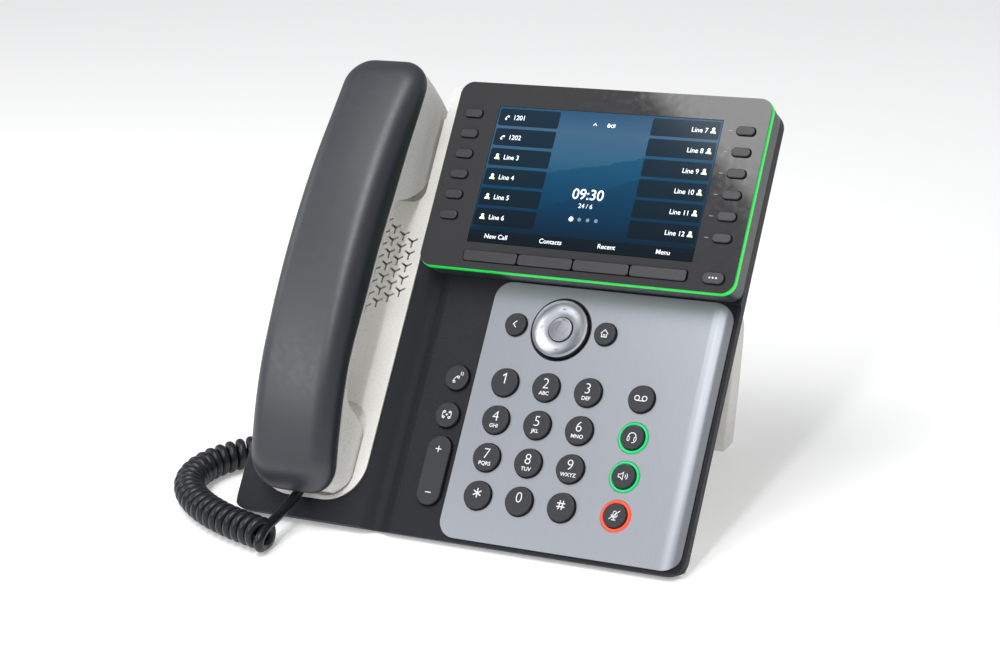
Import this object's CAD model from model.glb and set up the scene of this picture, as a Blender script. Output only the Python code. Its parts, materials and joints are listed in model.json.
import json
import math

import bmesh
import bpy
from mathutils import Matrix, Vector

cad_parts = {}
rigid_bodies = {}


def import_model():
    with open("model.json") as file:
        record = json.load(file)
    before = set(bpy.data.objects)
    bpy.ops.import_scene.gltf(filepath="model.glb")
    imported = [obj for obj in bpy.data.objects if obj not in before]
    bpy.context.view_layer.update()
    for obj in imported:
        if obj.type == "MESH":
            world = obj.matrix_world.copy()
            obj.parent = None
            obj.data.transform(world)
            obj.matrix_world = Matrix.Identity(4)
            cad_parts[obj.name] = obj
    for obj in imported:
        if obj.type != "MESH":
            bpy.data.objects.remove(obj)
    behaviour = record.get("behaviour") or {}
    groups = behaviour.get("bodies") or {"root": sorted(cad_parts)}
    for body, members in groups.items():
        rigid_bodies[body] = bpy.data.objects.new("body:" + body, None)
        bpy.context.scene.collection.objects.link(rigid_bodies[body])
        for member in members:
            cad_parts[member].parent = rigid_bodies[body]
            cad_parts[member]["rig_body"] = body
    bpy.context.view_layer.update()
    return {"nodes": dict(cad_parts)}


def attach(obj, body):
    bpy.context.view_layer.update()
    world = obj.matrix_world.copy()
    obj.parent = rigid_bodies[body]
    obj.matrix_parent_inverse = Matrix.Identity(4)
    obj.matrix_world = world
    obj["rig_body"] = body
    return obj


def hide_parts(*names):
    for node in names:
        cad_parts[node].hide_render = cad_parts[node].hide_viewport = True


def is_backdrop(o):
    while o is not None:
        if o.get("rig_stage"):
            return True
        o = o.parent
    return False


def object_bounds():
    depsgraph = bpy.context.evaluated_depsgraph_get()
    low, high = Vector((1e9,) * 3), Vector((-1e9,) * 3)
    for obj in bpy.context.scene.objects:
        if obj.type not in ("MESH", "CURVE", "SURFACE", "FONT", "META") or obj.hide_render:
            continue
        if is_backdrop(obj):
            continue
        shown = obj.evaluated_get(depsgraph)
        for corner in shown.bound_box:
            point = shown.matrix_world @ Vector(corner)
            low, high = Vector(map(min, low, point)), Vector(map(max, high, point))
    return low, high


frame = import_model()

NODES = frame["nodes"]
scene = bpy.context.scene
scene.view_settings.view_transform = "Standard"
scene.view_settings.look = "None"

# ------------------------------------------------------------------ frames
A = math.radians(50)
ORG = Vector((0.02955, -0.029, 0.0604))
X_DIR, V_DIR, N_DIR = Vector((1, 0, 0)), Vector((0, math.cos(A), math.sin(A))), Vector((0, -math.sin(A), math.cos(A)))
PANEL = Matrix(((1, 0, 0, ORG.x), (0, V_DIR.y, N_DIR.y, ORG.y), (0, V_DIR.z, N_DIR.z, ORG.z), (0, 0, 0, 1))) @ Matrix.Scale(0.001, 4)
FOOT_Y = -0.07145


def at(x, v, n=0.0):
    """World point, in metres, of a panel point in millimetres."""
    return PANEL @ Vector((x, v, n))


def desk(x, y, z):
    """World point of a desk point in millimetres, as the cord's route uses."""
    return Vector((x / 1000 + ORG.x, y / 1000 + FOOT_Y, z / 1000))


def link(ob):
    scene.collection.objects.link(ob)
    return ob


# ------------------------------------------------------------------ camera
cam = link(bpy.data.objects.new("camera", bpy.data.cameras.new("camera")))
right = Vector((0.884656, 0.45863, -0.083917))
down = Vector((0.099595, -0.361719, -0.926952))
ahead = Vector((-0.455483, 0.811676, -0.365674))
cam.matrix_world = Matrix(((right.x, -down.x, -ahead.x, 0.48495), (right.y, -down.y, -ahead.y, -0.87607),
                           (right.z, -down.z, -ahead.z, 0.4650), (0, 0, 0, 1)))
cam.data.sensor_width = 36
cam.data.lens = 86.87
cam.data.clip_start = 0.01
scene.camera = cam


# --------------------------------------------------------------- materials
class Shader:
    """A material with its own small node graph, in panel or object coordinates."""

    def __init__(self, name):
        self.mat = bpy.data.materials.new(name)
        self.mat.use_nodes = True
        self.tree = self.mat.node_tree
        self.bsdf = next(n for n in self.tree.nodes if n.type == "BSDF_PRINCIPLED")
        coord = self.add("ShaderNodeTexCoord")
        turn = self.add("ShaderNodeMapping")
        self.link(coord.outputs["Object"], turn.inputs["Vector"])
        # panel coordinates in millimetres: x, v, n
        turn.inputs["Rotation"].default_value = (-A, 0, 0)
        turn.inputs["Scale"].default_value = (1000, 1000, 1000)
        shift = Matrix.Rotation(-A, 3, "X") @ (ORG * 1000)
        turn.inputs["Location"].default_value = -shift
        self.panel = turn.outputs["Vector"]
        self.height = None

    def add(self, kind, **kw):
        node = self.tree.nodes.new(kind)
        for k, v in kw.items():
            setattr(node, k, v)
        return node

    def link(self, a, b):
        self.tree.links.new(a, b)

    def put(self, node, name, value):
        if hasattr(value, "is_linked") or hasattr(value, "links"):
            self.link(value, node.inputs[name])
        else:
            node.inputs[name].default_value = value

    def set(self, **kw):
        for k, v in kw.items():
            name = {"rough": "Roughness", "metal": "Metallic", "spec": "Specular IOR Level", "coat": "Coat Weight",
                    "coat_rough": "Coat Roughness", "color": "Base Color", "emit": "Emission Color",
                    "power": "Emission Strength", "sheen": "Sheen Weight", "sheen_rough": "Sheen Roughness",
                    "aniso": "Anisotropic", "ior": "IOR", "trans": "Transmission Weight"}[k]
            if isinstance(v, tuple) and len(v) == 3:
                v = (*v, 1.0)
            self.put(self.bsdf, name, v)
        return self

    def scaled(self, sx=1.0, sy=1.0, sz=1.0, source=None):
        m = self.add("ShaderNodeMapping")
        self.link(source or self.panel, m.inputs["Vector"])
        m.inputs["Scale"].default_value = (sx, sy, sz)
        return m.outputs["Vector"]

    def noise(self, scale, detail=2.0, rough=0.5, vec=None, distort=0.0):
        n = self.add("ShaderNodeTexNoise")
        self.link(vec or self.panel, n.inputs["Vector"])
        n.inputs["Scale"].default_value = scale
        n.inputs["Detail"].default_value = detail
        n.inputs["Roughness"].default_value = rough
        n.inputs["Distortion"].default_value = distort
        return n.outputs["Fac"]

    def cells(self, scale, feature="F1", vec=None, jitter=1.0):
        n = self.add("ShaderNodeTexVoronoi", feature=feature)
        self.link(vec or self.panel, n.inputs["Vector"])
        n.inputs["Scale"].default_value = scale
        n.inputs["Randomness"].default_value = jitter
        return n.outputs["Distance"]

    def ramp(self, fac, *stops, mode="LINEAR"):
        n = self.add("ShaderNodeValToRGB")
        n.color_ramp.interpolation = mode
        el = n.color_ramp.elements
        while len(el) < len(stops):
            el.new(0.5)
        for e, (pos, col) in zip(el, stops):
            e.position = pos
            e.color = (*col, 1.0) if isinstance(col, (tuple, list)) else (col, col, col, 1.0)
        self.link(fac, n.inputs["Fac"])
        return n.outputs["Color"]

    def remap(self, fac, a, b, c, d):
        n = self.add("ShaderNodeMapRange")
        self.link(fac, n.inputs["Value"])
        for k, v in (("From Min", a), ("From Max", b), ("To Min", c), ("To Max", d)):
            n.inputs[k].default_value = v
        return n.outputs["Result"]

    def mix(self, fac, a, b, blend="MIX"):
        n = self.add("ShaderNodeMix", data_type="RGBA", blend_type=blend)
        for sock, v in ((n.inputs[0], fac), (n.inputs[6], a), (n.inputs[7], b)):
            if isinstance(v, tuple):
                sock.default_value = (*v, 1.0) if len(v) == 3 else v
            elif isinstance(v, (int, float)):
                sock.default_value = v
            else:
                self.link(v, sock)
        return n.outputs[2]

    def math(self, op, a, b=0.0, c=0.0):
        n = self.add("ShaderNodeMath", operation=op)
        for i, v in enumerate((a, b, c)):
            if isinstance(v, (int, float)):
                n.inputs[i].default_value = v
            else:
                self.link(v, n.inputs[i])
        return n.outputs[0]

    def axes(self, vec=None):
        n = self.add("ShaderNodeSeparateXYZ")
        self.link(vec or self.panel, n.inputs["Vector"])
        return n.outputs["X"], n.outputs["Y"], n.outputs["Z"]

    def bump(self, height, mm, strength=1.0):
        n = self.add("ShaderNodeBump")
        n.inputs["Strength"].default_value = strength
        n.inputs["Distance"].default_value = mm / 1000
        self.link(height, n.inputs["Height"])
        if self.height is not None:
            self.link(self.height, n.inputs["Normal"])
        self.height = n.outputs["Normal"]
        self.link(self.height, self.bsdf.inputs["Normal"])
        return self


def plastic(name, color, rough=0.5, grain=1.6, depth=0.02, spread=0.08, spec=0.5, coat=0.0, fine=5.0):
    """Moulded plastic: fine spark grain, slight colour and gloss variation."""
    s = Shader(name)
    cloud = s.noise(0.06, 3)
    tint = s.ramp(cloud, (0.3, tuple(c * (1 - spread) for c in color)), (0.7, tuple(min(1, c * (1 + spread)) for c in color)))
    s.set(color=tint, spec=spec, coat=coat)
    s.set(rough=s.remap(s.noise(0.35, 3), 0.3, 0.7, rough - 0.035, rough + 0.035))
    s.bump(s.noise(grain, 2), depth, 0.5)
    s.bump(s.noise(fine, 1), depth * 0.4, 0.4)
    return s


black = Shader("textured_black_weave")
wx, wv, wn = black.axes()
# pressed weave: two crossed families of rounded ribs, alternately raised
diag_a = black.math("SINE", black.math("MULTIPLY", wx, 6.3))
diag_b = black.math("SINE", black.math("MULTIPLY", wv, 6.3))
weave = black.math("MULTIPLY", diag_a, diag_b)
loose = black.noise(0.9, 2)
black.set(color=black.mix(black.remap(weave, -1, 1, 0, 1), (0.006, 0.0072, 0.0105), (0.0175, 0.0195, 0.026)), spec=0.24)
black.set(rough=black.remap(loose, 0.3, 0.7, 0.42, 0.54))
black.bump(weave, 0.10, 0.8)
black.bump(loose, 0.05, 0.5)

wall_black = plastic("smooth_black_plastic", (0.021, 0.022, 0.025), 0.42, depth=0.012)
soft_touch = plastic("soft_touch_black", (0.0115, 0.0145, 0.0225), 0.44, grain=3.0, depth=0.008, spread=0.05, spec=0.85, fine=9.0)
soft_touch.set(sheen=0.03, sheen_rough=0.4)
key_black = plastic("key_black", (0.017, 0.0182, 0.0228), 0.42, spec=0.4, grain=2.2, depth=0.014, spread=0.05)
bezel_grey = plastic("bezel_grey", (0.034, 0.034, 0.0355), 0.075, grain=2.5, depth=0.0008, spread=0.03, spec=0.5)
line_key = plastic("line_key_black", (0.02, 0.02, 0.022), 0.4, grain=2.2, depth=0.01)
case_grey = plastic("pod_case", (0.03, 0.036, 0.038), 0.4, depth=0.01)
cord_black = plastic("cord_rubber", (0.0055, 0.0065, 0.0105), 0.33, spec=0.4, grain=1.2, depth=0.03, spread=0.12)
foot_rubber = plastic("foot_rubber", (0.02, 0.02, 0.02), 0.75, grain=1.0, depth=0.05)
plug_clear = plastic("plug_plastic", (0.2, 0.22, 0.25), 0.2, depth=0.004)
board = plastic("board_green", (0.01, 0.09, 0.035), 0.35, depth=0.01)

cream = Shader("flecked_cream")
fleck = cream.ramp(cream.noise(1.9, 2.5, 0.6), (0.62, 0.0), (0.69, 1.0))
patch = cream.ramp(cream.noise(0.05, 2), (0.35, (0.80, 0.79, 0.75)), (0.65, (0.86, 0.85, 0.81)))
cream.set(color=cream.mix(fleck, patch, (0.36, 0.34, 0.30)), spec=0.4)
cream.set(rough=cream.remap(cream.noise(0.4, 2), 0.3, 0.7, 0.48, 0.58))
cream.bump(cream.noise(2.2, 2), 0.03, 0.5)

satin = Shader("satin_silver")
brush = satin.noise(2.4, 3, 0.6, vec=satin.scaled(1.0, 0.02, 1.0))
speck = satin.noise(3.2, 2, 0.6)
tone = satin.mix(satin.remap(brush, 0.35, 0.65, 0, 1), (0.266, 0.280, 0.308), (0.277, 0.291, 0.320))
satin.set(color=tone, metal=0.82, spec=0.5)
satin.set(rough=satin.remap(speck, 0.3, 0.7, 0.36, 0.45))
satin.bump(speck, 0.003, 0.3)

rim_bright = Shader("cut_edge")
rim_bright.set(color=rim_bright.ramp(rim_bright.noise(0.5), (0.3, 0.62), (0.7, 0.72)), metal=0.9)
rim_bright.set(rough=rim_bright.remap(rim_bright.noise(2.0), 0.3, 0.7, 0.22, 0.32))

spun = Shader("spun_metal")
sx, sv, sn = spun.axes()
radius = spun.math("SQRT", spun.math("ADD", spun.math("POWER", spun.math("SUBTRACT", sx, 0.2), 2.0),
                                     spun.math("POWER", spun.math("SUBTRACT", sv, 26.7), 2.0)))
rings = spun.math("SINE", spun.math("MULTIPLY", radius, 34.0))
spun.set(color=spun.mix(spun.remap(rings, -1, 1, 0, 1), (0.25, 0.262, 0.288), (0.30, 0.312, 0.34)), metal=0.9)
spun.set(rough=spun.remap(spun.noise(0.8), 0.3, 0.7, 0.30, 0.36), aniso=0.55)
spun.bump(rings, 0.0012, 0.3)

steel = Shader("screw_steel")
steel.set(color=steel.ramp(steel.noise(1.0), (0.3, 0.45), (0.7, 0.6)), metal=1.0)
steel.set(rough=steel.remap(steel.noise(3.0), 0.3, 0.7, 0.25, 0.4))


def glow(name, color, power, edge=None):
    s = Shader(name)
    fac = s.noise(0.3, 2)
    dim = s.ramp(fac, (0.3, tuple(c * 0.9 for c in color)), (0.7, color))
    s.set(color=dim, rough=0.3, power=power, emit=dim)
    return s


green = glow("green_light", (0.002, 0.50, 0.05), 0.85)
ring_green = glow("ring_green", (0.01, 0.42, 0.13), 0.75)
ring_red = glow("ring_red", (0.95, 0.075, 0.03), 0.75)
legend = glow("legend_white", (0.78, 0.8, 0.83), 0.12)
legend_dim = glow("legend_grey", (0.28, 0.29, 0.3), 0.0)

# picture of the display: night-blue sky over layered ridges
pic = Shader("display_picture")
px, pv, pn = pic.axes()
u = pic.remap(px, -48.41, 59.59, 0.0, 1.0)
t = pic.remap(pv, 58.87, 123.67, 0.0, 1.0)
sky = pic.ramp(t, (0.0, (0.0004, 0.004, 0.010)), (0.16, (0.0006, 0.017, 0.045)), (0.42, (0.0012, 0.058, 0.13)),
               (0.66, (0.030, 0.115, 0.20)), (0.85, (0.050, 0.125, 0.215)), (1.0, (0.022, 0.085, 0.165)))


def ridge(base, slope, wig, seed):
    w = pic.noise(0.045, 4, 0.5, vec=pic.scaled(1.0, 0.0, 0.0))
    w = pic.math("ADD", pic.math("MULTIPLY", pic.noise(0.045 + seed * 0.02, 4, 0.55, vec=pic.scaled(1.0, 0.0, 0.0)), wig), base)
    line = pic.math("ADD", w, pic.math("MULTIPLY", u, slope))
    return pic.remap(pic.math("SUBTRACT", line, t), 0.0, 0.006, 0.0, 1.0)


far = ridge(0.36, 0.36, 0.16, 0.3)
near = ridge(0.02, 0.62, 0.16, 1.0)
shade_far = pic.ramp(t, (0.0, (0.0006, 0.012, 0.03)), (0.35, (0.0008, 0.045, 0.11)), (0.8, (0.012, 0.10, 0.19)))
shade_near = pic.ramp(t, (0.0, (0.0005, 0.006, 0.014)), (0.25, (0.0005, 0.030, 0.075)), (0.75, (0.004, 0.072, 0.15)))
view = pic.mix(near, pic.mix(far, sky, shade_far), shade_near)
pic.set(color=(0.003, 0.004, 0.006), emit=view, power=1.15, spec=0.16, coat=0.0)
pic.set(rough=pic.remap(pic.noise(1.0), 0.3, 0.7, 0.10, 0.13))

bar = Shader("label_bar")
bx, bv, bn = bar.axes()
bt = bar.remap(bv, 58.87, 123.67, 0.0, 1.0)
bar_tone = bar.ramp(bt, (0.0, (0.0015, 0.006, 0.011)), (0.4, (0.0035, 0.018, 0.033)), (1.0, (0.010, 0.030, 0.052)))
bar.set(color=(0.003, 0.004, 0.006), emit=bar_tone, power=1.0, spec=0.16)
bar.set(rough=bar.remap(bar.noise(1.0), 0.3, 0.7, 0.10, 0.13))
lit = glow("screen_white", (0.75, 0.80, 0.86), 0.85)
lit_dim = glow("screen_grey", (0.11, 0.17, 0.22), 0.7)
lit_leaf = glow("screen_leaf", (0.45, 0.6, 0.12), 0.7)
lcd_edge = plastic("lcd_edge", (0.004, 0.004, 0.005), 0.3, depth=0.004)


def paint(ob, *shaders):
    ob.data.materials.clear()
    for s in shaders:
        ob.data.materials.append(s.mat)


for node, s in {"front_housing": black, "rear_housing": cream, "keypad_plate": satin, "cradle_plate": cream,
                "display_rear_case": case_grey, "light_ring": green, "display_bezel": bezel_grey,
                "lcd_panel": lcd_edge, "stand": cream, "rubber_feet": foot_rubber, "main_board": board,
                "housing_screws": steel, "key_light_rings": ring_green, "cord_plug": plug_clear,
                "cord_strand": cord_black, "cord_coil": cord_black, "cord_tail": cord_black,
                "handset_outer_shell": soft_touch, "handset_inner_shell": cream, "hook_switch": cream,
                "navigation_disc": spun, "select_key": spun}.items():
    paint(NODES[node], s)
for node in NODES:
    if node.startswith(("line_key", "soft_key", "more_key")):
        paint(NODES[node], line_key)
    elif node.endswith("_key") and node != "select_key" or node.startswith("key_") and node != "key_light_rings" \
            or node == "volume_rocker":
        paint(NODES[node], key_black)


# ------------------------------------------------------------- mesh helpers
def mesh_object(name, bm, *shaders, smooth=35.0):
    bmesh.ops.remove_doubles(bm, verts=bm.verts, dist=1e-7)
    bmesh.ops.recalc_face_normals(bm, faces=bm.faces)
    me = bpy.data.meshes.new(name)
    bm.to_mesh(me)
    bm.free()
    ob = link(bpy.data.objects.new(name, me))
    paint(ob, *shaders)
    if smooth:
        me.shade_smooth()
        me.set_sharp_from_angle(angle=math.radians(smooth))
    return ob


def prism(bm, pts, n0, n1, index=0):
    """Closed solid over a panel polygon, between two heights."""
    low = [bm.verts.new(at(x, v, n0)) for x, v in pts]
    top = [bm.verts.new(at(x, v, n1)) for x, v in pts]
    faces = [bm.faces.new(low[::-1]), bm.faces.new(top)]
    for i in range(len(pts)):
        j = (i + 1) % len(pts)
        faces.append(bm.faces.new((low[i], low[j], top[j], top[i])))
    for f in faces:
        f.material_index = index


def circle(cx, cv, r, count=40, a0=0.0, a1=360.0):
    full = abs(a1 - a0) > 359
    k = count if full else count - 1
    return [(cx + r * math.cos(math.radians(a0 + (a1 - a0) * i / k)), cv + r * math.sin(math.radians(a0 + (a1 - a0) * i / k)))
            for i in range(count)]


def round_rect(cx, cv, w, h, r, seg=6):
    pts = []
    for sx_, sv_, a in ((1, 1, 0), (-1, 1, 90), (-1, -1, 180), (1, -1, 270)):
        for i in range(seg + 1):
            t_ = math.radians(a + 90 * i / seg)
            pts.append((cx + sx_ * (w / 2 - r) + r * math.cos(t_), cv + sv_ * (h / 2 - r) + r * math.sin(t_)))
    return pts


def stroke(bm, pts, width, n0, n1, closed=False):
    """A line of one width with mitred corners, as one closed solid."""
    k = len(pts)
    left, right_ = [], []
    for i, (x, v) in enumerate(pts):
        before = pts[i - 1] if i or closed else None
        after = pts[(i + 1) % k] if i < k - 1 or closed else None
        d = Vector((0, 0))
        for p, q in ((before, (x, v)), ((x, v), after)):
            if p is not None and q is not None:
                e = Vector((q[0] - p[0], q[1] - p[1]))
                if e.length > 1e-9:
                    d += e.normalized()
        if d.length < 1e-9:
            d = Vector((1, 0))
        d.normalize()
        side = Vector((-d.y, d.x))
        scale = 1.0
        if before is not None and after is not None:
            e = Vector((after[0] - x, after[1] - v)).normalized()
            c = max(0.45, abs(e.dot(d)))
            scale = 1.0 / c
        left.append((x + side.x * width / 2 * scale, v + side.y * width / 2 * scale))
        right_.append((x - side.x * width / 2 * scale, v - side.y * width / 2 * scale))
    if closed:
        rows = [[bm.verts.new(at(x, v, n)) for x, v in ring] for ring, n in
                ((left, n0), (left, n1), (right_, n1), (right_, n0))]
        for a_, b_ in zip(rows, rows[1:] + rows[:1]):
            for i in range(k):
                j = (i + 1) % k
                bm.faces.new((a_[i], a_[j], b_[j], b_[i]))
    else:
        prism(bm, left + right_[::-1], n0, n1)


def band(bm, cx, cv, r0, r1, n0, n1, count=48):
    stroke(bm, circle(cx, cv, (r0 + r1) / 2, count), r1 - r0, n0, n1, closed=True)


_font = {}


def text_mesh(name, words, x, v, n, cap, shader, align="CENTER", weight=0.0, thick=0.05, stretch=1.0):
    """Flat raised lettering whose capitals are cap millimetres tall."""
    if not _font:
        cu = bpy.data.curves.new("cap", "FONT")
        cu.body = "H"
        cu.size = 1
        ob = link(bpy.data.objects.new("cap", cu))
        bpy.context.view_layer.update()
        _font["cap"] = ob.dimensions.y
        bpy.data.objects.remove(ob)
    cu = bpy.data.curves.new(name, "FONT")
    cu.body = words
    cu.size = 1
    cu.align_x = align
    cu.align_y = "BOTTOM_BASELINE"
    cu.offset = weight
    cu.resolution_u = 6
    k = cap / _font["cap"]
    cu.extrude = thick / 2 / k
    tmp = link(bpy.data.objects.new(name + "_tmp", cu))
    dg = bpy.context.evaluated_depsgraph_get()
    me = bpy.data.meshes.new_from_object(tmp.evaluated_get(dg))
    bpy.data.objects.remove(tmp)
    me.transform(PANEL @ Matrix.Translation((x, v - cap / 2, n + thick / 2)) @ Matrix.Diagonal((k * stretch, k, k, 1)))
    me.name = name
    ob = link(bpy.data.objects.new(name, me))
    paint(ob, shader)
    return ob


def join(name, obs, body):
    obs = [o for o in obs if o]
    first = obs[0]
    if len(obs) > 1:
        with bpy.context.temp_override(active_object=first, selected_editable_objects=obs, object=first,
                                       selected_objects=obs):
            bpy.ops.object.join()
    first.name = name
    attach(first, body)
    return first


def detail(node, name, shader, width, segments=3, angle=32.0, body=None, slot=None, clamp=True):
    """The CAD node's own shape with its sharp edges rounded, standing for the node."""
    src = NODES[node].data
    bm = bmesh.new()
    bm.from_mesh(src)
    bmesh.ops.remove_doubles(bm, verts=bm.verts, dist=2e-6)
    bmesh.ops.dissolve_limit(bm, angle_limit=math.radians(0.6), use_dissolve_boundaries=False,
                             verts=bm.verts, edges=bm.edges)
    me = bpy.data.meshes.new(name)
    bm.to_mesh(me)
    bm.free()
    ob = link(bpy.data.objects.new(name, me))
    paint(ob, shader)
    me.shade_smooth()
    me.set_sharp_from_angle(angle=math.radians(50))
    mod = ob.modifiers.new("edge", "BEVEL")
    mod.width = width / 1000
    mod.segments = segments
    mod.limit_method = "ANGLE"
    mod.angle_limit = math.radians(angle)
    mod.use_clamp_overlap = clamp
    mod.harden_normals = False
    even = ob.modifiers.new("even", "WEIGHTED_NORMAL")
    even.keep_sharp = True
    even.weight = 80
    dg = bpy.context.evaluated_depsgraph_get()
    done = bpy.data.meshes.new_from_object(ob.evaluated_get(dg))
    ob.modifiers.clear()
    ob.data = done
    done.name = name
    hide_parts(node)
    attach(ob, body or NODES[node]["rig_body"])
    return ob


# -------------------------------------------------------------------- cord
def nurbs(name, pts, bevel=0.0):
    cu = bpy.data.curves.new(name, "CURVE")
    cu.dimensions = "3D"
    sp = cu.splines.new("NURBS")
    sp.points.add(len(pts) - 1)
    for p, q in zip(sp.points, pts):
        p.co = (*q, 1.0)
    sp.order_u = 3
    sp.use_endpoint_u = True
    sp.resolution_u = 10 if not bevel else 3
    cu.bevel_depth = bevel
    cu.bevel_resolution = 4
    cu.use_fill_caps = bool(bevel)
    return link(bpy.data.objects.new(name, cu))


def line_of(pts):
    ob = nurbs("route", pts)
    dg = bpy.context.evaluated_depsgraph_get()
    me = bpy.data.meshes.new_from_object(ob.evaluated_get(dg))
    out = [v.co.copy() for v in me.vertices]
    bpy.data.objects.remove(ob)
    bpy.data.meshes.remove(me)
    return out


COIL_Z = 7.7
exit_point = at(-104.5, -61.9, 4.4)
strand = [exit_point, desk(-105.2, -10.8, 12.4), desk(-106.0, -20.2, 10.6), desk(-105.8, -28.6, 10.2),
          desk(-104.6, -35.2, 8.6)]
coil = [desk(x, y, COIL_Z) for x, y in
        ((-101.0, -31.2), (-112.0, -28.4), (-131.0, -22.8), (-149.0, -14.4), (-163.5, -3.2), (-171.9, 10.0),
         (-172.0, 26.0), (-163.5, 40.5), (-149.0, 54.0), (-128.0, 67.0), (-104.0, 79.0), (-82.0, 91.5),
         (-62.0, 98.0))]
plug_end = at(-40.0, 15.0, -44.0)
tail = [desk(-52.0, 101.0, 9.4), desk(-43.6, 104.0, 17.5), desk(-40.2, 101.5, 28.5),
        Vector((plug_end.x, plug_end.y + 0.009 * math.sin(A), plug_end.z - 0.009 * math.cos(A))), plug_end]
PITCH, COIL_R, PER_TURN = 4.95, 5.2, 14
middle = line_of(coil)
runs = [0.0]
for p, q in zip(middle, middle[1:]):
    runs.append(runs[-1] + (q - p).length * 1000)


def along(s):
    s = max(0.0, min(runs[-1] - 1e-6, s))
    i = max(k for k in range(len(runs)) if runs[k] <= s)
    f = (s - runs[i]) / max(1e-9, runs[i + 1] - runs[i])
    here = middle[i].lerp(middle[i + 1], f)
    j0, j1 = max(0, i - 2), min(len(middle) - 1, i + 3)
    return here, (middle[j1] - middle[j0]).normalized()


# the plain run rounds the front of the first turn, the coil follows, and its end straightens out
turns = [desk(-104.9, -36.2, 6.9), desk(-105.2, -35.8, 4.8), desk(-105.5, -34.4, 3.4)]
start, angle0 = 4.8, -70.0
last = runs[-1] - 11.0
count = int((last - start) / PITCH * PER_TURN)


def coil_point(s, ang, r):
    here, ahead_ = along(s)
    side_ = Vector((-ahead_.y, ahead_.x, 0)).normalized()
    return here + side_ * (r / 1000 * math.cos(math.radians(ang))) + Vector((0, 0, r / 1000 * math.sin(math.radians(ang))))


for i in range(count + 1):
    turns.append(coil_point(start + (last - start) * i / count, angle0 - 360.0 * i / PER_TURN, COIL_R))
s_now, ang_now = last, angle0 - 360.0 * count / PER_TURN
for step, swing, r in ((0.5, 24, 5.2), (0.7, 20, 5.1), (0.95, 16, 4.9), (1.2, 12, 4.5), (1.4, 9, 4.0), (1.6, 6, 3.4),
                       (1.75, 4, 2.7), (1.9, 2, 2.0)):
    s_now, ang_now = s_now + step, ang_now - swing
    turns.append(coil_point(s_now, ang_now, r))
cord = nurbs("handset_cord", strand + turns + tail, 0.0023)
paint(cord, cord_black)
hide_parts("cord_strand", "cord_coil", "cord_tail")
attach(cord, "base")
whole = line_of(strand + turns + tail)

# ----------------------------------------------------------------- handset
HAND_X, HAND_W = -104.5, 42.0
crown_pts = [(-63.6, 17.0), (-60.0, 20.0), (-50.0, 25.3), (-37.0, 30.2), (-21.0, 34.6), (-3.0, 37.6), (9.0, 38.8),
             (40.0, 40.0), (66.0, 39.0), (93.0, 35.9), (110.0, 32.8), (127.0, 29.0), (138.6, 25.5)]
split_pts = [(-63.6, 8.4), (-45.0, 15.2), (-24.0, 21.4), (-8.0, 24.6), (4.0, 25.2), (19.0, 24.9), (46.0, 24.7),
             (72.0, 23.2), (97.0, 21.7), (123.0, 19.4), (138.6, 19.0)]


def curve_through(pts):
    """Smooth height along the handset: natural cubic through the points."""
    xs, ys = [p[0] for p in pts], [p[1] for p in pts]
    k = len(xs)
    h = [xs[i + 1] - xs[i] for i in range(k - 1)]
    al = [0.0] * k
    for i in range(1, k - 1):
        al[i] = 3 * ((ys[i + 1] - ys[i]) / h[i] - (ys[i] - ys[i - 1]) / h[i - 1])
    l_, mu, z = [1.0] * k, [0.0] * k, [0.0] * k
    for i in range(1, k - 1):
        l_[i] = 2 * (xs[i + 1] - xs[i - 1]) - h[i - 1] * mu[i - 1]
        mu[i] = h[i] / l_[i]
        z[i] = (al[i] - h[i - 1] * z[i - 1]) / l_[i]
    c, b, d = [0.0] * k, [0.0] * k, [0.0] * k
    for j in range(k - 2, -1, -1):
        c[j] = z[j] - mu[j] * c[j + 1]
        b[j] = (ys[j + 1] - ys[j]) / h[j] - h[j] * (c[j + 1] + 2 * c[j]) / 3
        d[j] = (c[j + 1] - c[j]) / (3 * h[j])

    def value(t):
        t = max(xs[0], min(xs[-1], t))
        i = max(j for j in range(k - 1) if xs[j] <= t)
        u_ = t - xs[i]
        return ys[i] + b[i] * u_ + c[i] * u_ ** 2 + d[i] * u_ ** 3
    return value


crown = curve_through(crown_pts)
split = curve_through(split_pts)
V0, V1 = -63.6, 138.6


def outline(inset, per_side=56, per_corner=14):
    """Rounded rectangle of the handset's plan, moved inwards by inset."""
    hw, hv = HAND_W / 2 - inset, (V1 - V0) / 2 - inset
    r = max(13.0 - inset, 0.02)
    cv = (V0 + V1) / 2
    pts = []
    for sx_, sv_, a in ((1, 1, 0), (-1, 1, 90), (-1, -1, 180), (1, -1, 270)):
        cx, cy = HAND_X + sx_ * (hw - r), cv + sv_ * (hv - r)
        for i in range(per_corner):
            t_ = math.radians(a + 90 * i / per_corner)
            pts.append((cx + r * math.cos(t_), cy + r * math.sin(t_)))
        # along the next straight side
        t_ = math.radians(a + 90)
        x0, y0 = cx + r * math.cos(t_), cy + r * math.sin(t_)
        nx, ny = {0: (-1, 1), 90: (-1, -1), 180: (1, -1), 270: (1, 1)}[a]
        cx2, cy2 = HAND_X + nx * (hw - r), cv + ny * (hv - r)
        x1, y1 = cx2 + r * math.cos(t_), cy2 + r * math.sin(t_)
        k = per_side if a in (90, 270) else 16
        for i in range(k):
            pts.append((x0 + (x1 - x0) * i / k, y0 + (y1 - y0) * i / k))
    return pts


def bridge(bm, a_, b_):
    k = len(a_)
    for i in range(k):
        j = (i + 1) % k
        bm.faces.new((a_[i], a_[j], b_[j], b_[i]))


bm = bmesh.new()
EDGE = 8.5
loops = []


def ring_of(inset, height):
    return [bm.verts.new(at(x, v, height(x, v))) for x, v in outline(inset)]


def dome(x, v):
    """Gentle crossways crown."""
    return crown(v) - 1.3 * min(1.0, abs(x - HAND_X) / (HAND_W / 2)) ** 2


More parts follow.
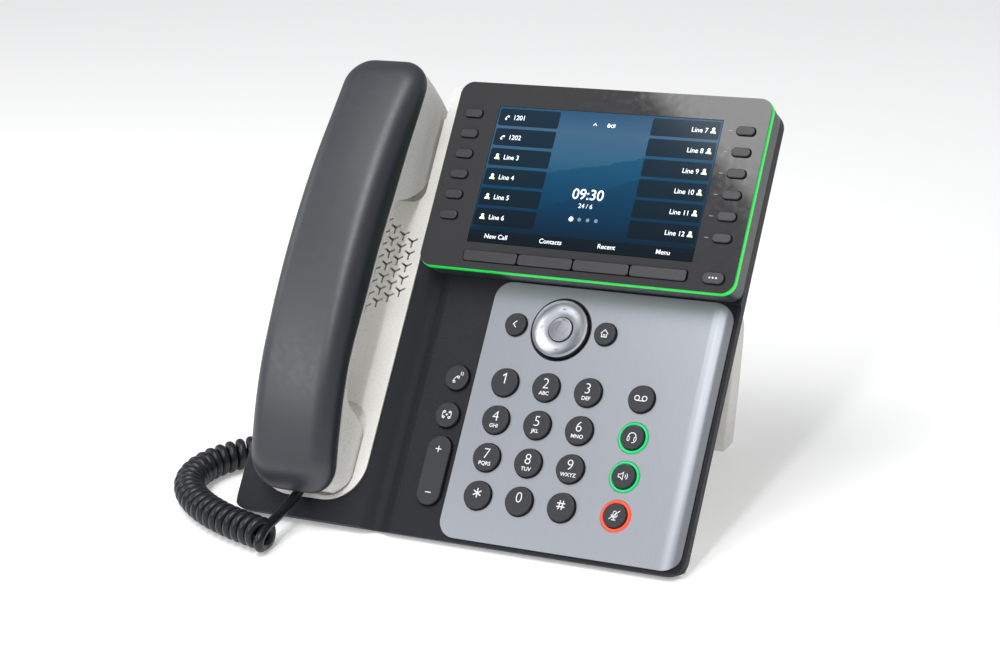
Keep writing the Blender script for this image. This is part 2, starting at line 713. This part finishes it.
# inside of the lower edge, the lower edge, the wall, then the rounded shoulder
loops.append(ring_of(2.6, lambda x, v: split(v) + 1.4))
loops.append(ring_of(1.1, lambda x, v: split(v) + 0.5))
loops.append(ring_of(0.5, lambda x, v: split(v) + 0.35))
loops.append(ring_of(0.12, lambda x, v: split(v) + 0.6))
loops.append(ring_of(0.0, lambda x, v: split(v) + 1.1))
for f in (0.33, 0.66):
    loops.append(ring_of(0.0, lambda x, v, f=f:
                         split(v) + 1.1 + f * max(0.15, dome(x, v) - min(EDGE, 0.8 * (dome(x, v) - split(v) - 1.1)) - split(v) - 1.1)))
for i in range(0, 11):
    phi = math.radians(90 * i / 10)

    def height(x, v, phi=phi):
        top = dome(x, v)
        e = min(EDGE, 0.8 * (top - split(v) - 1.1))
        return top - e * (1 - math.sin(phi))
    loops.append(ring_of(EDGE * (1 - math.cos(phi)), height))
for inset in (10.0, 12.0, 14.5, 17.0, 19.0, 20.6):
    loops.append(ring_of(inset, dome))
for a_, b_ in zip(loops, loops[1:]):
    bridge(bm, a_, b_)
# the last loop closes on the centre line, each point with the one across from it
spine = [bm.verts.new(at(HAND_X, v, dome(HAND_X, v))) for x, v in outline(20.6)]
bridge(bm, loops[-1], spine)
bmesh.ops.remove_doubles(bm, verts=spine, dist=3e-4)
# underside of the shell, closed the same way
low = [bm.verts.new(at(HAND_X, v, split(v) + 2.2)) for x, v in outline(20.6)]
bridge(bm, loops[0], low)
bmesh.ops.remove_doubles(bm, verts=low, dist=3e-4)
outer = mesh_object("handset_back_shell", bm, soft_touch, smooth=60)
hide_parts("handset_outer_shell")
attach(outer, "handset")

detail("handset_inner_shell", "handset_face_shell", cream, 1.6, 4, 35, slot="cream_plastic")

# ---------------------------------------------------------------- legends
digits = {"key_1": ("1", ""), "key_2": ("2", "ABC"), "key_3": ("3", "DEF"), "key_4": ("4", "GHI"), "key_5": ("5", "JKL"),
          "key_6": ("6", "MNO"), "key_7": ("7", "PQRS"), "key_8": ("8", "TUV"), "key_9": ("9", "WXYZ"),
          "key_star": ("*", ""), "key_0": ("0", ""), "key_hash": ("#", "")}
COL, ROW, SIDE_X = 20.11, 17.12, 45.3
spots = {n: (c * COL, -r * ROW) for n, (r, c) in zip(digits, [(r, c) for r in range(4) for c in (-1, 0, 1)])}
for node, (big, small) in digits.items():
    x, v = spots[node]
    parts = []
    if big == "*":
        b2 = bmesh.new()
        for k in range(3):
            a_ = math.radians(90 + 60 * k)
            dx, dv = 2.1 * math.cos(a_), 2.1 * math.sin(a_)
            stroke(b2, [(x - dx, v + 0.9 - dv), (x + dx, v + 0.9 + dv)], 0.5, 0.0, 0.05 + 0.002 * k)
        parts.append(mesh_object(node + "_legend", b2, legend, smooth=0))
    elif big == "#":
        b2 = bmesh.new()
        for k, (p, q) in enumerate((((-0.95, -2.0), (-0.55, 2.0)), ((0.55, -2.0), (0.95, 2.0)), ((-1.9, 0.75), (1.9, 0.75)),
                                    ((-1.9, -0.75), (1.9, -0.75)))):
            stroke(b2, [(x + p[0], v + 0.9 + p[1]), (x + q[0], v + 0.9 + q[1])], 0.46, 0.0, 0.05 + 0.002 * k)
        parts.append(mesh_object(node + "_legend", b2, legend, smooth=0))
    elif big == "1":
        b2 = bmesh.new()
        stroke(b2, [(x - 1.15, v + 2.75), (x + 0.25, v + 3.8), (x + 0.25, v - 0.7)], 0.5, 0.0, 0.05)
        parts.append(mesh_object(node + "_legend", b2, legend, smooth=0))
    else:
        parts.append(text_mesh(node + "_legend", big, x, v + 1.6, 0.0, 4.6, legend, weight=-0.014))
    if small:
        parts.append(text_mesh(node + "_letters", small, x, v - 2.8, 0.0, 1.6, legend, weight=0.016, stretch=1.05))
    join(node + "_legend", parts, node)


def icon(name, body, draw, shader=legend):
    b2 = bmesh.new()
    draw(b2)
    ob = mesh_object(name, b2, shader, smooth=0)
    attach(ob, body)
    return ob


def handset_shape(b2, x, v, size, turn, w, n0, n1):
    """Little handset drawn as one bent bar with two ends."""
    ca, sa = math.cos(math.radians(turn)), math.sin(math.radians(turn))

    def tr(px_, pv_):
        return (x + size * (px_ * ca - pv_ * sa), v + size * (px_ * sa + pv_ * ca))
    arc = [tr(0.25 + 0.75 * math.cos(math.radians(t_)) * -0.45, 1.0 * math.sin(math.radians(t_))) for t_ in range(-70, 71, 14)]
    stroke(b2, arc, w, n0, n1)
    for s_ in (1, -1):
        pts = [tr(0.05, 0.92 * s_), tr(0.5, 1.12 * s_), tr(0.78, 0.72 * s_), tr(0.35, 0.5 * s_)]
        stroke(b2, pts, w, n0, n1 + 0.002, closed=True)


W = 0.38
icon("voicemail_key_legend", "voicemail_key", lambda b: (
    band(b, SIDE_X - 1.75, 0.15, 0.85, 1.25, 0, 0.05, 28), band(b, SIDE_X + 1.75, 0.15, 0.85, 1.25, 0, 0.05, 28),
    stroke(b, [(SIDE_X - 1.75, -0.93), (SIDE_X + 1.75, -0.93)], W, 0, 0.052)))


def headset(b):
    x, v = SIDE_X, -17.14
    stroke(b, circle(x, v + 0.2, 1.75, 22, -8, 188), W, 0, 0.05)
    for s_ in (1, -1):
        stroke(b, round_rect(x + s_ * 1.55, v - 0.75, 0.95, 1.75, 0.35, 3), 0.3, 0, 0.052, closed=True)
    stroke(b, [(x + 1.75, v - 1.6), (x + 1.2, v - 2.25), (x + 0.2, v - 2.4)], 0.3, 0, 0.05)


def speaker(b):
    x, v = SIDE_X - 0.3, -34.28
    stroke(b, [(x - 1.9, v - 0.65), (x - 1.0, v - 0.65), (x + 0.15, v - 1.6), (x + 0.15, v + 1.6), (x - 1.0, v + 0.65),
               (x - 1.9, v + 0.65)], 0.32, 0, 0.05, closed=True)
    for r_ in (1.0, 1.9):
        stroke(b, circle(x + 0.35, v, r_, 12, -42, 42), 0.32, 0, 0.05)


def mute(b):
    x, v = SIDE_X, -51.42
    stroke(b, round_rect(x, v + 0.55, 1.35, 2.5, 0.66, 5), 0.3, 0, 0.05, closed=True)
    stroke(b, circle(x, v + 0.35, 1.45, 14, -180, 0), 0.3, 0, 0.052)
    stroke(b, [(x, v - 1.1), (x, v - 2.0)], 0.3, 0, 0.054)
    stroke(b, [(x - 1.0, v - 2.05), (x + 1.0, v - 2.05)], 0.3, 0, 0.056)
    stroke(b, [(x - 2.2, v - 1.9), (x + 2.2, v + 2.1)], 0.34, 0, 0.058)


icon("headset_key_legend", "headset_key", headset)
icon("speaker_key_legend", "speaker_key", speaker)
icon("mute_key_legend", "mute_key", mute)
icon("back_key_legend", "back_key", lambda b: stroke(b, [(-20.9, 28.2), (-22.4, 26.7), (-20.9, 25.2)], 0.42, 0, 0.05))
icon("home_key_legend", "home_key", lambda b: (
    stroke(b, [(20.1, 26.7), (21.8, 28.5), (23.5, 26.7)], 0.36, 0, 0.05),
    stroke(b, [(20.6, 26.6), (20.6, 25.2), (23.0, 25.2), (23.0, 26.6)], 0.34, 0, 0.052),
    stroke(b, [(21.4, 25.2), (21.4, 26.3), (22.2, 26.3), (22.2, 25.2)], 0.26, 0, 0.054)))
icon("hold_key_legend", "hold_key", lambda b: (
    handset_shape(b, -44.4, -0.9, 1.7, -38, 0.32, -0.6, -0.55),
    stroke(b, [(-42.0, 0.6), (-42.0, 2.3)], 0.32, -0.6, -0.55), stroke(b, [(-41.1, 0.6), (-41.1, 2.3)], 0.32, -0.6, -0.55)))
icon("transfer_key_legend", "transfer_key", lambda b: (
    handset_shape(b, -46.2, -17.7, 1.55, 0, 0.32, -0.6, -0.55),
    handset_shape(b, -42.2, -17.7, 1.55, 180, 0.32, -0.6, -0.55),
    stroke(b, [(-44.75, -17.7), (-43.65, -17.7)], 0.3, -0.6, -0.55),
    stroke(b, [(-44.2, -18.25), (-44.2, -17.15)], 0.3, -0.6, -0.545)))
icon("volume_rocker_legend", "volume_rocker", lambda b: (
    stroke(b, [(-45.4, -33.5), (-42.6, -33.5)], 0.4, -0.5, -0.45), stroke(b, [(-44.0, -34.9), (-44.0, -32.1)], 0.4, -0.5, -0.448),
    stroke(b, [(-45.4, -53.2), (-42.6, -53.2)], 0.4, -0.5, -0.45)))
icon("more_key_legend", "more_key", lambda b: [prism(b, circle(71.1 + 1.5 * k, 52.3, 0.42, 16), 13.2, 13.25) for k in (-1, 0, 1)])
icon("navigation_arrows", "navigation_disc", lambda b: [
    stroke(b, [(0.2 + 9.6 * math.cos(math.radians(a_)) + 1.1 * math.cos(math.radians(a_ + 135)),
                26.7 + 9.6 * math.sin(math.radians(a_)) + 1.1 * math.sin(math.radians(a_ + 135))),
               (0.2 + 9.6 * math.cos(math.radians(a_)), 26.7 + 9.6 * math.sin(math.radians(a_))),
               (0.2 + 9.6 * math.cos(math.radians(a_)) + 1.1 * math.cos(math.radians(a_ - 135)),
                26.7 + 9.6 * math.sin(math.radians(a_)) + 1.1 * math.sin(math.radians(a_ - 135)))],
           0.3, -0.75, -0.66) for a_ in (0, 90, 180, 270)], legend_dim)
icon("select_key_ring", "select_key", lambda b: (
    band(b, 0.2, 26.7, 2.35, 2.8, -0.5, -0.44, 40),
    stroke(b, [(-0.9, 26.9), (-0.05, 26.0), (1.5, 27.7)], 0.36, -0.5, -0.44)), legend_dim)
icon("line_key_ticks", "base", lambda b: [
    stroke(b, [(62.8, 119.26 - 9.8 * i), (64.6, 119.26 - 9.8 * i)], 0.28, 12.0, 12.04) for i in range(6)], legend_dim)

# rings round the three side keys: rounded light pipes
for name, cv_, s in (("headset_ring", -17.14, ring_green), ("speaker_ring", -34.28, ring_green), ("mute_ring", -51.42, ring_red)):
    b2 = bmesh.new()
    k = 64
    prof = [(5.65, -2.4), (5.65, -1.25), (5.85, -0.98), (6.2, -0.9), (6.5, -0.98), (6.78, -1.25), (6.9, -1.6), (6.9, -2.4)]
    rows = []
    for i in range(k):
        a_ = 2 * math.pi * i / k
        rows.append([b2.verts.new(at(SIDE_X + r_ * math.cos(a_), cv_ + r_ * math.sin(a_), n_)) for r_, n_ in prof])
    for i in range(k):
        j = (i + 1) % k
        for m in range(len(prof)):
            q = (m + 1) % len(prof)
            b2.faces.new((rows[i][m], rows[j][m], rows[j][q], rows[i][q]))
    ob = mesh_object(name, b2, s, smooth=60)
    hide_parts("key_light_rings")
    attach(ob, "base")

# lit edge of the display: a rounded band under the front lip
BEZEL = (5.2, 90.5, 150.8, 88.6, 6.0)
b2 = bmesh.new()
rows = []
for grow, height in ((-1.15, 8.75), (0.21, 8.75), (0.26, 9.0), (0.29, 9.5), (0.29, 10.8), (0.22, 11.2), (0.05, 11.35), (-1.15, 11.35)):
    cx, cv_, w_, h_, r_ = BEZEL
    rows.append([b2.verts.new(at(x, v, height)) for x, v in round_rect(cx, cv_, w_ + 2 * grow, h_ + 2 * grow, r_ + grow, 12)])
for a_, b_ in zip(rows, rows[1:] + rows[:1]):
    bridge(b2, a_, b_)
ob = mesh_object("display_light_band", b2, green, smooth=60)
ob.visible_diffuse = False
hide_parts("light_ring")
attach(ob, "base")

# ------------------------------------------------------------------ screen
LX, LV, LW, LH = 5.59, 91.27, 108.0, 64.8
L0, L1, B0, T1 = LX - LW / 2, LX + LW / 2, LV - LH / 2, LV + LH / 2
b2 = bmesh.new()
prism(b2, [(L0, B0), (L1, B0), (L1, T1), (L0, T1)], 11.9, 11.93)
ob = mesh_object("screen_picture", b2, pic, smooth=0)
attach(ob, "base")
b2 = bmesh.new()
for i in range(6):
    v = T1 - 5.0 - 9.55 * i
    prism(b2, round_rect(L0 + 15.6, v, 30.0, 8.2, 0.9, 4), 11.93, 11.945)
    prism(b2, round_rect(L1 - 16.6, v, 32.0, 8.2, 0.9, 4), 11.93, 11.945)
prism(b2, [(L0, B0), (L1, B0), (L1, B0 + 5.6), (L0, B0 + 5.6)], 11.93, 11.94)
ob = mesh_object("screen_labels", b2, bar, smooth=0)
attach(ob, "base")

words = []
left_words = ["1201", "1202", "Line 3", "Line 4", "Line 5", "Line 6"]
right_words = ["Line 7", "Line 8", "Line 9", "Line 10", "Line 11", "Line 12"]
for i in range(6):
    v = T1 - 5.0 - 9.55 * i
    words.append(text_mesh("left_word", left_words[i], L0 + 7.6, v, 11.945, 2.15, lit, "LEFT", 0.004, 0.02))
    words.append(text_mesh("right_word", right_words[i], L1 - 6.0, v, 11.945, 2.15, lit, "RIGHT", 0.004, 0.02))
words.append(text_mesh("clock", "09:30", LX - 1.0, LV - 6.2, 11.93, 4.7, lit, "CENTER", 0.006, 0.02))
words.append(text_mesh("day", "24 / 6", LX - 1.0, LV - 11.6, 11.93, 2.0, lit, "CENTER", 0.0, 0.02))
words.append(text_mesh("count", "5  3", LX + 2.4, LV + 26.6, 11.93, 1.8, lit, "CENTER", -0.014, 0.02))
for x, word in ((-34.9, "New Call"), (-8.0, "Contacts"), (18.9, "Recent"), (45.6, "Menu")):
    words.append(text_mesh("soft_word", word, x, B0 + 3.1, 11.94, 2.05, lit, "CENTER", 0.004, 0.02))
join("screen_words", words, "base")


def screen_icons(b):
    for i in range(6):
        v = T1 - 5.0 - 9.55 * i
        for x, phone in ((L0 + 4.4, i < 2), (L1 - 3.6, False)):
            if phone:
                handset_shape(b, x, v, 1.0, -40, 0.32, 11.945, 11.965)
            else:
                prism(b, circle(x, v + 0.75, 0.72, 20), 11.945, 11.965)
                prism(b, circle(x, v - 1.15, 1.3, 14, 0, 180), 11.945, 11.965)
    prism(b, circle(LX - 6.4, LV - 18.0, 1.1, 24), 11.93, 11.95)
    stroke(b, [(LX - 6.4, LV + 26.0), (LX - 5.6, LV + 27.2), (LX - 4.8, LV + 26.0)], 0.3, 11.93, 11.95)
    band(b, LX + 1.1, LV + 26.4, 0.5, 0.8, 11.93, 11.95, 20)
    band(b, LX + 2.9, LV + 26.4, 0.5, 0.8, 11.93, 11.95, 20)


icon("screen_icons", "base", screen_icons, lit)
icon("screen_dots", "base", lambda b: [prism(b, circle(LX - 6.4 + 4.0 * k, LV - 18.0, 0.85, 20), 11.93, 11.95) for k in (1, 2, 3)], lit_dim)
icon("screen_status", "base", lambda b: [prism(b, circle(x + 1.0, T1 - 5.0 - 9.55 * i - 1.0, 0.42, 12), 11.965, 11.975)
                                         for i in range(6) for x in ((L0 + 4.4, L1 - 3.6) if i > 1 else (L1 - 3.6,))], lit_leaf)

# ------------------------------------------------------- rounded hard parts
detail("display_bezel", "display_front_frame", bezel_grey, 0.35, 3, 40, slot="bezel_grey")
detail("stand", "stand_leg", cream, 1.4, 4, 25, slot="cream_plastic")
detail("cradle_plate", "handset_cradle", cream, 0.22, 2, 40, slot="cream_plastic")
detail("keypad_plate", "keypad_cover", satin, 0.12, 2, 50, slot="satin_silver")
detail("front_housing", "front_cover", black, 0.5, 3, 42, slot="textured_black")
detail("display_rear_case", "display_back", case_grey, 0.8, 3, 40, slot="case_grey")
detail("volume_rocker", "volume_key", key_black, 0.25, 3, 40, slot="key_black")

# ------------------------------------------------------------ floor, light
floor_shader = Shader("floor")
floor_tone = floor_shader.ramp(floor_shader.noise(0.002, 2), (0.3, 0.9), (0.7, 0.92))
floor_shader.set(color=floor_tone, rough=0.7, spec=0.1, emit=floor_tone, power=0.26)
b2 = bmesh.new()
q = [b2.verts.new(p) for p in ((-6, -3, 0), (6, -3, 0), (6, 9, 0), (-6, 9, 0))]
b2.faces.new(q)
floor = mesh_object("floor", b2, floor_shader, smooth=0)
floor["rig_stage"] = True

world = bpy.data.worlds.new("studio")
scene.world = world
world.use_nodes = True
world.node_tree.nodes["Background"].inputs["Color"].default_value = (0.97, 0.98, 1.0, 1)
world.node_tree.nodes["Background"].inputs["Strength"].default_value = 0.43


def area(name, loc, look, size, power, color=(1, 1, 1), size_y=None):
    d = bpy.data.lights.new(name, "AREA")
    d.energy = power
    d.color = color
    d.shape = "RECTANGLE"
    d.size = size
    d.size_y = size_y or size
    ob = link(bpy.data.objects.new(name, d))
    ob.location = loc
    ob.rotation_euler = (Vector(look) - Vector(loc)).to_track_quat("-Z", "Y").to_euler()
    return ob


# square card overhead, turned so that one edge runs across the display frame as a reflection
card = area("key_card", (-0.115, -0.276, 1.0), (-0.115, -0.276, 0.0), 0.52, 4.9)
card.rotation_euler = (0, 0, math.radians(-51.3))
area("edge_strip", (0.11, -0.70, 1.02), (0.06, 0, 0.09), 0.10, 3.2, size_y=0.5)
low_box = area("front_box", (-0.68, -1.02, 0.70), (0, 0, 0.08), 0.8, 4.8, size_y=0.34)
area("side_fill", (-1.1, -0.1, 0.6), (-0.05, 0, 0.08), 0.5, 1.8)

low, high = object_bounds()
